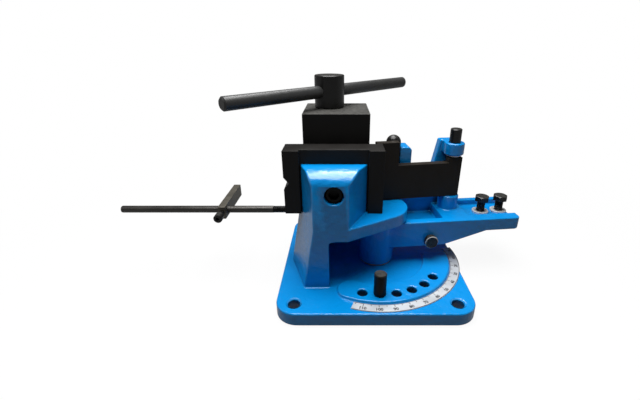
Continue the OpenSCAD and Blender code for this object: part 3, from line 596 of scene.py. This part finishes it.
edge_marks = bpy.data.node_groups.new("edges_to_round", "GeometryNodeTree")
edge_marks.is_modifier = True
for way in ("INPUT", "OUTPUT"):
    edge_marks.interface.new_socket("Geometry", in_out=way, socket_type="NodeSocketGeometry")
edge_angle = edge_marks.nodes.new("GeometryNodeInputMeshEdgeAngle").outputs["Unsigned Angle"]
edge_middle = edge_marks.nodes.new("GeometryNodeInputPosition").outputs[0]
edge_weight = add_math(edge_marks, "GREATER_THAN", edge_angle, SHARP_FROM)
for centre, reach in NO_ROOM:
    distance = edge_marks.nodes.new("ShaderNodeVectorMath")
    distance.operation = "DISTANCE"
    distance.inputs[1].default_value = centre
    feed(edge_marks, edge_middle, distance.inputs[0])
    outside = add_math(edge_marks, "GREATER_THAN", distance.outputs["Value"], reach)
    edge_weight = add_math(edge_marks, "MULTIPLY", edge_weight, outside)
keep_weight = edge_marks.nodes.new("GeometryNodeStoreNamedAttribute")
keep_weight.data_type = "FLOAT"
keep_weight.domain = "EDGE"
keep_weight.inputs["Name"].default_value = "bevel_weight_edge"
solid_in = edge_marks.nodes.new("NodeGroupInput")
solid_out = edge_marks.nodes.new("NodeGroupOutput")
feed(edge_marks, solid_in.outputs[0], keep_weight.inputs["Geometry"])
feed(edge_marks, edge_weight, keep_weight.inputs["Value"])
feed(edge_marks, keep_weight.outputs["Geometry"], solid_out.inputs[0])
print("group", edge_marks.name)

# %% [markdown]
# Modifiers do the rounding and leave the model's own meshes as they are. Welding the imported
# triangles and dissolving the flat ones gives clean faces for the bevel, and weighted normals keep the
# large faces flat beside it. The castings get 2 mm, the machined pieces only the small broken edge
# that a file leaves.

# %% Round the edges
EDGE_RADII = {
    "frame_casting": 0.002, "swing_arm": 0.002, "bending_die": 0.0006, "clamp_block": 0.0006,
    "bending_blade": 0.0006, "stop_block": 0.0004,
}
WELD_BELOW = 1e-5
FLAT_BELOW = math.radians(1)
ROUND_STEPS = 3

for node_name, radius in EDGE_RADII.items():
    modifiers = nodes[node_name].modifiers
    weld = modifiers.new("weld", "WELD")
    weld.merge_threshold = WELD_BELOW
    flat = modifiers.new("flat", "DECIMATE")
    flat.decimate_type = "DISSOLVE"
    flat.angle_limit = FLAT_BELOW
    modifiers.new("marks", "NODES").node_group = edge_marks
    bevel = modifiers.new("round", "BEVEL")
    bevel.width = radius
    bevel.segments = ROUND_STEPS
    bevel.limit_method = "WEIGHT"
    bevel.use_clamp_overlap = False
    bevel.miter_outer = "MITER_ARC"
    modifiers.new("normals", "WEIGHTED_NORMAL").keep_sharp = False
print("rounded", sorted(EDGE_RADII))

# %% [markdown]
# The screws and the rod need threads, which the solids leave as plain cylinders. Each of these pieces
# is skinned over a stack of rings about its own axis. A thread is only a ring whose radius depends on
# the angle and the height, so the groove climbs by one pitch in a turn. Six-sided heads use the same
# rings with the radius of a hexagon.

# %% Rings and threads
RING_STEPS = 48
ROWS_PER_PITCH = 6
GROOVE_DEPTH = 0.58  # of the pitch
FLANK_SLOPE = 1.3
HEAD_CHAMFER = math.radians(30)


def ring(radius, height):
    """Ring of points about Z; radius is a number or a function of the angle and the height."""
    points = []
    for i in range(RING_STEPS):
        angle = 2 * math.pi * i / RING_STEPS
        r = radius(angle, height) if callable(radius) else radius
        points.append(Vector((r * math.cos(angle), r * math.sin(angle), height)))
    return points


def rings_at(radius, profile):
    """Rings from pairs of inset and height: each is that much inside the radius."""
    return [ring(radius - inset, height) for inset, height in profile]


def hexagon(flats, height, crown=0.0):
    """Six-sided ring; crown is the radius outside which its height falls off as a chamfer does."""
    points = ring(lambda angle, _: flats / 2 / math.cos(angle % (math.pi / 3) - math.pi / 6), height)
    if crown:
        for point in points:
            point.z -= (point.xy.length - crown) * math.tan(HEAD_CHAMFER)
    return points


def thread(radius, pitch, start, end):
    """Rings of a right-hand thread between two heights."""
    def groove(angle, height):
        turn = (height / pitch - angle / (2 * math.pi)) % 1
        deep = max(0.0, 1 - FLANK_SLOPE * (1 - abs(2 * turn - 1)))
        return radius - GROOVE_DEPTH * pitch * deep
    count = round((end - start) / pitch * ROWS_PER_PITCH)
    return [ring(groove, start + (end - start) * i / count) for i in range(count + 1)]


print("rings of", RING_STEPS, "points,", ROWS_PER_PITCH, "rows to a pitch")

# %% [markdown]
# Two helpers turn rings into pieces. The first closes the stack with a face at each end, so the mesh
# has no open side. The second makes the object, lets it ride on its body and hides the nodes that it
# stands for.

# %% Skins and pieces
CREASE_FROM = math.radians(32)


def skin_over(shape, rings, place, second=()):
    """Adds a closed skin over a stack of rings; rows named in second take the second finish."""
    rows = [[shape.verts.new(place @ point) for point in points] for points in rings]
    for number, (low, high) in enumerate(zip(rows, rows[1:])):
        for i in range(len(low)):
            j = (i + 1) % len(low)
            face = shape.faces.new((low[i], low[j], high[j], high[i]))
            face.material_index = 1 if number in second else 0
    shape.faces.new(rows[0])
    shape.faces.new(rows[-1])


def add_piece(name, shape, finishes, body, slot, *stands_for):
    """Makes a piece of a bmesh; it rides on a body and may stand for nodes."""
    bmesh.ops.recalc_face_normals(shape, faces=shape.faces)
    mesh = bpy.data.meshes.new(name)
    shape.to_mesh(mesh)
    shape.free()
    for finish in finishes:
        mesh.materials.append(finish)
    mesh.shade_smooth()
    mesh.set_sharp_from_angle(angle=CREASE_FROM)
    piece = bpy.data.objects.new(name, mesh)
    scene.collection.objects.link(piece)
    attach(piece, body)
    if stands_for:
        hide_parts(*stands_for)
    print(name, len(mesh.vertices), "points on", body)


print("edges above", round(math.degrees(CREASE_FROM)), "degrees stay sharp")

# %% [markdown]
# The length stop's rod is smooth for most of its length. The stretch next to the table is threaded,
# because there it screws into the casting. The thread is blacker than the drawn rod, so its rows take
# a second finish.

# %% Stop rod
ROD_R = 0.005
ROD_PITCH = 0.0015
ROD_THREAD_X = -0.140
ROD_TIP = ((0.0012, 0), (0.0004, 0.0003), (0, 0.0012))  # inset and distance from the end
ROD_RUN_IN, ROD_RUN_OUT = 0.0006, 0.001

rod_low, rod_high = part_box("stop_rod")
rod_l = rod_high[0] - rod_low[0]
rod_plain = ROD_THREAD_X - rod_low[0]
rod_foot = (rod_low[0], (rod_low[1] + rod_high[1]) / 2, (rod_low[2] + rod_high[2]) / 2)
rod_place = Matrix.Translation(rod_foot) @ Matrix.Rotation(math.pi / 2, 4, "Y")
rod_start = rings_at(ROD_R, ROD_TIP + ((0, rod_plain),))
rod_thread = thread(ROD_R, ROD_PITCH, rod_plain + ROD_RUN_IN, rod_l - ROD_RUN_OUT)
rod_end = rings_at(ROD_R, [(ROD_RUN_OUT, rod_l)])
threaded_rows = range(len(rod_start) - 1, len(rod_start) + len(rod_thread))
rod_shape = bmesh.new()
skin_over(rod_shape, rod_start + rod_thread + rod_end, rod_place, second=threaded_rows)
add_piece("threaded_stop_rod", rod_shape, [drawn_rod, oxide_turned], "frame", "black_steel", "stop_rod")

# %% [markdown]
# The lock screw presses on the rod from the front. It has a round head with a six-sided socket and a
# fine thread. The rings go from the screw's tip over the head and down into the socket.

# %% Lock screw
LOCK_R = 0.003
LOCK_PITCH = 0.001
LOCK_TIP = 0.0008
LOCK_RUN_IN, LOCK_RUN_OUT = 0.0007, 0.0004
LOCK_HEAD_R = 0.006
LOCK_HEAD_L = 0.011
LOCK_BACK_BEVEL, LOCK_FRONT_BEVEL = 0.0008, 0.001
SOCKET_FLATS = 0.005
SOCKET_DEPTH = 0.004

lock_low, lock_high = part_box("stop_lock_screw")
lock_l = lock_high[1] - lock_low[1]
lock_back = lock_l - LOCK_HEAD_L
lock_foot = ((lock_low[0] + lock_high[0]) / 2, lock_high[1], (lock_low[2] + lock_high[2]) / 2)
lock_place = Matrix.Translation(lock_foot) @ Matrix.Rotation(math.pi / 2, 4, "X")
lock_rings = rings_at(LOCK_R, [(LOCK_TIP, 0)])
lock_rings += thread(LOCK_R, LOCK_PITCH, LOCK_RUN_IN, lock_back - LOCK_RUN_OUT)
lock_rings += rings_at(LOCK_R, [(0, lock_back)])
lock_rings += rings_at(LOCK_HEAD_R, [
    (LOCK_BACK_BEVEL, lock_back), (0, lock_back + LOCK_BACK_BEVEL),
    (0, lock_l - LOCK_FRONT_BEVEL), (LOCK_FRONT_BEVEL, lock_l)])
lock_rings += [hexagon(SOCKET_FLATS, lock_l), hexagon(SOCKET_FLATS, lock_l - SOCKET_DEPTH)]
lock_shape = bmesh.new()
skin_over(lock_shape, lock_rings, lock_place)
add_piece("lock_screw_with_socket", lock_shape, [oxide_turned], "lock_screw", "black_steel",
          "stop_lock_screw")

# %% [markdown]
# Two hex bolts stand in the arm's channel. Their heads are chamfered on top, which rounds the six
# corners, and their shanks are threaded all the way. Both are one piece, because they are alike and
# share one node. Their places are measured along the arm and turned with it.

# %% Channel bolts
PIVOT = Vector((0.008, 0, 0))
ARM_REST = math.radians(6.3)
BOLT_ALONG = (0.1665, 0.1955)
BOLT_ACROSS = 0.02175
BOLT_R = 0.006
BOLT_PITCH = 0.00175
BOLT_TIP = 0.0012
BOLT_RUN_IN, BOLT_RUN_OUT = 0.001, 0.0008
BOLT_FLATS = 0.019
BOLT_HEAD_H = 0.008
COLLAR_INSET, COLLAR_H = 0.0003, 0.0004
CROWN_R, DISH_R, DISH_DEPTH = 0.0089, 0.0070, 0.0003


def on_arm(along, across, height):
    """Frame of a place on the arm at rest: metres along it from the pivot, across it and up."""
    turn = Matrix.Rotation(ARM_REST, 4, "Z")
    return Matrix.Translation(PIVOT) @ turn @ Matrix.Translation((along, across, height))


bolts_low, bolts_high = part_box("lever_bolts")
bolt_l = bolts_high[2] - bolts_low[2]
bolt_neck = bolt_l - BOLT_HEAD_H
collar_top = bolt_neck + COLLAR_H
bolt_rings = rings_at(BOLT_R, [(BOLT_TIP, 0)])
bolt_rings += thread(BOLT_R, BOLT_PITCH, BOLT_RUN_IN, bolt_neck - BOLT_RUN_OUT)
bolt_rings += rings_at(BOLT_R, [(0, bolt_neck)])
bolt_rings += rings_at(BOLT_FLATS / 2, [(COLLAR_INSET, bolt_neck), (COLLAR_INSET, collar_top)])
bolt_rings += [hexagon(BOLT_FLATS, collar_top), hexagon(BOLT_FLATS, bolt_l, CROWN_R)]
bolt_rings += [ring(CROWN_R, bolt_l), ring(DISH_R, bolt_l - DISH_DEPTH)]
bolts_shape = bmesh.new()
for bolt_along in BOLT_ALONG:
    skin_over(bolts_shape, bolt_rings, on_arm(bolt_along, BOLT_ACROSS, bolts_low[2]))
add_piece("threaded_lever_bolts", bolts_shape, [oxide_turned], "arm", "black_steel", "lever_bolts")

# %% [markdown]
# The stop bolt in the arm's front face takes the blow of the stop pin. Its round head has a bright
# bevelled rim, partly where the black is worn away and partly a painted highlight of the glint on
# the bevel, so that one row of faces takes the pale rim finish.

# %% Stop bolt
STOP_ALONG, STOP_ACROSS = 0.0745, -0.0213
STOP_SHANK_R, STOP_SHANK_L = 0.006, 0.026
STOP_TIP = 0.001
STOP_HEAD_R, STOP_HEAD_H = 0.0095, 0.0075
STOP_BACK_BEVEL, STOP_RIM = 0.0005, 0.001
STOP_DISH = ((0.0022, 0), (0.0026, 0.0004))  # inset and depth
STOP_RIM_ROW = 5

stop_low, stop_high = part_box("stop_bolt")
stop_middle = (stop_low[2] + stop_high[2]) / 2
stop_place = on_arm(STOP_ALONG, STOP_ACROSS, stop_middle) @ Matrix.Rotation(math.pi / 2, 4, "X")
stop_rings = rings_at(STOP_SHANK_R, [
    (STOP_TIP, -STOP_SHANK_L), (0, STOP_TIP - STOP_SHANK_L), (0, 0)])
stop_rings += rings_at(STOP_HEAD_R, [
    (STOP_BACK_BEVEL, 0), (0, STOP_BACK_BEVEL), (0, STOP_HEAD_H - STOP_RIM), (STOP_RIM, STOP_HEAD_H)])
stop_rings += rings_at(STOP_HEAD_R, [(inset, STOP_HEAD_H - depth) for inset, depth in STOP_DISH])
stop_shape = bmesh.new()
skin_over(stop_shape, stop_rings, stop_place, second=(STOP_RIM_ROW,))
add_piece("bevelled_stop_bolt", stop_shape, [oxide_turned, rim_wear_and_glint], "arm", "black_steel", "stop_bolt")

# %% [markdown]
# The scale is printed: a border line along each edge, a long mark every ten degrees, a short one
# between them, and plain numbers whose tops point to the pivot. Every mark is a thin closed slab that
# lies in the foil. The numbers are text objects turned to meshes, which gives clean figures without a
# picture.

# %% Scale print: marks and numbers
INK_SINK, INK_RISE = 0.00006, 0.00004
FIGURE_STEPS = 4
FIGURE_WEIGHT = 0.035
MERGE_BELOW = 1e-6
scale_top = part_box("angle_scale")[1][2]


def polar(radius, angle, height):
    """Point at a radius from the pivot and a clockwise angle in degrees from the X axis."""
    turn = math.radians(-angle)
    return PIVOT + Vector((radius * math.cos(turn), radius * math.sin(turn), height))


def ink_slab(shape, inner, outer, start, end, steps=1):
    """Thin slab between two radii and two angles."""
    low, high = scale_top - INK_SINK, scale_top + INK_RISE
    rings = []
    for i in range(steps + 1):
        angle = start + (end - start) * i / steps
        rings.append([polar(inner, angle, low), polar(outer, angle, low),
                      polar(outer, angle, high), polar(inner, angle, high)])
    skin_over(shape, rings, Matrix.Identity(4))


def ink_number(shape, text, radius, angle, height):
    """Number whose top points to the pivot."""
    curve = bpy.data.curves.new("number", "FONT")
    curve.body = text
    curve.align_x = "CENTER"
    curve.resolution_u = FIGURE_STEPS
    curve.offset = FIGURE_WEIGHT
    curve.extrude = (INK_SINK + INK_RISE) / 2
    carrier = bpy.data.objects.new("number", curve)
    mesh = bpy.data.meshes.new_from_object(carrier)
    bpy.data.objects.remove(carrier)
    tall = max(v.co.y for v in mesh.vertices)
    size = height / tall
    middle = polar(radius, angle, scale_top + (INK_RISE - INK_SINK) / 2)
    turn = Matrix.Rotation(math.radians(90 - angle), 4, "Z")
    place = Matrix.Translation(middle) @ turn @ Matrix.Diagonal((size, size, 1, 1))
    mesh.transform(place @ Matrix.Translation((0, -tall / 2, 0)))
    shape.from_mesh(mesh)
    bpy.data.meshes.remove(mesh)
    bmesh.ops.remove_doubles(shape, verts=shape.verts, dist=MERGE_BELOW)


print("foil's top at", round(scale_top, 5), "m")

# %% [markdown]
# Two loops lay the print out: one for the border lines, one for the marks, with a number at every
# long mark.

# %% Scale print: layout
SCALE_IN, SCALE_OUT = 0.1085, 0.122
SCALE_FROM, SCALE_TO = -12, 109
SCALE_ZERO = -7.5
BORDER_IN, BORDER_OUT = 0.0002, 0.001
BORDER_END = 0.2
BORDER_STEPS = 80
MARK_COUNT, MARK_STEP = 24, 5
MARK_GAP = 0.0012
MARK_LONG, MARK_SHORT = 0.0036, 0.0024
MARK_HALF = 0.2
NUMBER_R, NUMBER_H = 0.1168, 0.0046

print_shape = bmesh.new()
for border in ((SCALE_IN + BORDER_IN, SCALE_IN + BORDER_OUT),
               (SCALE_OUT - BORDER_OUT, SCALE_OUT - BORDER_IN)):
    ink_slab(print_shape, *border, SCALE_FROM + BORDER_END, SCALE_TO - BORDER_END, BORDER_STEPS)
for step in range(MARK_COUNT):
    mark_at = SCALE_ZERO + MARK_STEP * step
    is_long = step % 2 == 0
    mark_in = SCALE_IN + MARK_GAP
    mark_out = mark_in + (MARK_LONG if is_long else MARK_SHORT)
    ink_slab(print_shape, mark_in, mark_out, mark_at - MARK_HALF, mark_at + MARK_HALF)
    if is_long:
        ink_number(print_shape, str(MARK_STEP * step), NUMBER_R, mark_at, NUMBER_H)
add_piece("scale_print", print_shape, [ink], "frame", "scale_plate")
